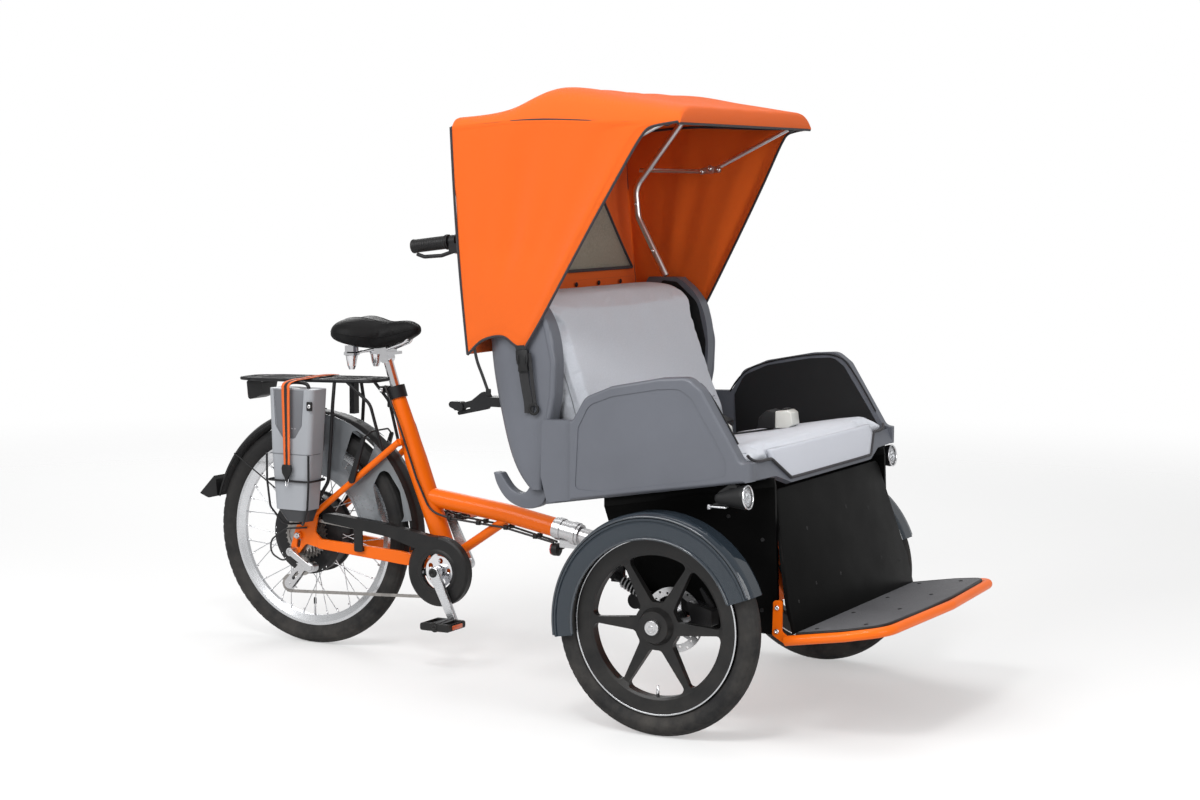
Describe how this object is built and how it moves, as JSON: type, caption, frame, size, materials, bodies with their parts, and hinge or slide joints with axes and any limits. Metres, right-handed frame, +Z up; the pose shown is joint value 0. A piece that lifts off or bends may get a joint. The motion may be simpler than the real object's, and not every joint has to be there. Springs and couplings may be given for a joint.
{
  "type": "cycle rickshaw",
  "caption": "Cycle rickshaw with a hooded bench and footplate on a steered front carriage, pushed by an orange bicycle rear end with battery, rack and chain drive.",
  "frame": {"origin": "on the floor, in the middle of the overall length and width", "axes": "+X forward towards the footplate, +Y left, +Z up"},
  "size_m": [2.3006, 1.08, 1.548],
  "materials": {
    "orange_paint": "gloss",
    "bare_steel": "satin",
    "chrome": "polished",
    "black_metal": "satin",
    "saddle_skin": "matte",
    "black_plastic": "matte",
    "smoke_plastic": "gloss",
    "grey_plastic": "satin",
    "strap_webbing": "woven",
    "chain_steel": "oiled",
    "cable_sheath": "satin",
    "tyre_rubber": "matte",
    "rim_alloy": "satin",
    "bench_plastic": "moulded",
    "cushion_fabric": "woven",
    "black_panel": "satin",
    "footplate_grip": "anti-slip",
    "mudguard_gloss": "gloss",
    "hood_fabric": "woven",
    "frame_tube": "satin",
    "cast_wheel_black": "satin"
  },
  "bodies": {
    "rear_frame": {"main_frame": "orange_paint", "rear_triangle": "orange_paint", "steering_head": "bare_steel", "seat_post": "chrome", "seat_clamp": "black_metal", "saddle": "saddle_skin", "saddle_springs": "chrome", "rear_mudguard": "black_plastic", "coat_guards": "smoke_plastic", "carrier": "black_metal", "battery": "grey_plastic", "battery_cage": "black_metal", "carrier_strap": "strap_webbing", "chain_guard": "black_plastic", "chain": "chain_steel", "rear_derailleur": "bare_steel", "rim_brake": "black_metal", "rear_lights": "black_plastic", "frame_cables": "cable_sheath"},
    "rear_wheel": {"rear_tyre": "tyre_rubber", "rear_rim": "rim_alloy", "hub_motor": "black_metal", "cassette": "chain_steel"},
    "crankset": {"chainring": "chrome", "crank_arms": "rim_alloy"},
    "pedal_right": {"pedal_right": "black_plastic"},
    "pedal_left": {"pedal_left": "black_plastic"},
    "front_carriage": {"front_chassis": "orange_paint", "suspension": "black_metal", "brake_calipers": "black_metal", "bench_shell": "bench_plastic", "back_shell": "bench_plastic", "armrest_linings": "black_plastic", "seat_cushion": "cushion_fabric", "back_cushion": "cushion_fabric", "seat_box": "black_panel", "front_panel": "black_panel", "footplate": "footplate_grip", "footplate_rail": "orange_paint", "headlights": "black_plastic", "mudguard_right": "mudguard_gloss", "mudguard_left": "mudguard_gloss", "canopy": "hood_fabric", "canopy_frame": "frame_tube", "canopy_straps": "strap_webbing", "seat_belts": "strap_webbing", "handlebar": "black_metal", "bar_controls": "black_metal", "parking_lever": "black_metal"},
    "front_wheel_right": {"front_tyre_right": "tyre_rubber", "front_wheel_right": "cast_wheel_black", "brake_disc_right": "bare_steel"},
    "front_wheel_left": {"front_tyre_left": "tyre_rubber", "front_wheel_left": "cast_wheel_black", "brake_disc_left": "bare_steel"}
  },
  "joints": [
    {"name": "steering", "type": "hinge", "parent": "rear_frame", "child": "front_carriage", "pos_m": [0.521, 0, 0.304], "axis": [0, 0, 1], "range_deg": [-35, 35]},
    {"name": "rear_wheel_spin", "type": "hinge", "parent": "rear_frame", "child": "rear_wheel", "pos_m": [-0.769, 0, 0.319], "axis": [0, 1, 0], "continuous": true},
    {"name": "crank_spin", "type": "hinge", "parent": "rear_frame", "child": "crankset", "pos_m": [-0.307, 0, 0.254], "axis": [0, 1, 0], "continuous": true},
    {"name": "pedal_right_spin", "type": "hinge", "parent": "crankset", "child": "pedal_right", "pos_m": [-0.24499, -0.145, 0.12515], "axis": [0, 1, 0], "continuous": true},
    {"name": "pedal_left_spin", "type": "hinge", "parent": "crankset", "child": "pedal_left", "pos_m": [-0.36901, 0.145, 0.38285], "axis": [0, 1, 0], "continuous": true},
    {"name": "front_wheel_right_spin", "type": "hinge", "parent": "front_carriage", "child": "front_wheel_right", "pos_m": [0.583, -0.496, 0.266], "axis": [0, 1, 0], "continuous": true},
    {"name": "front_wheel_left_spin", "type": "hinge", "parent": "front_carriage", "child": "front_wheel_left", "pos_m": [0.583, 0.496, 0.266], "axis": [0, 1, 0], "continuous": true}
  ]
}
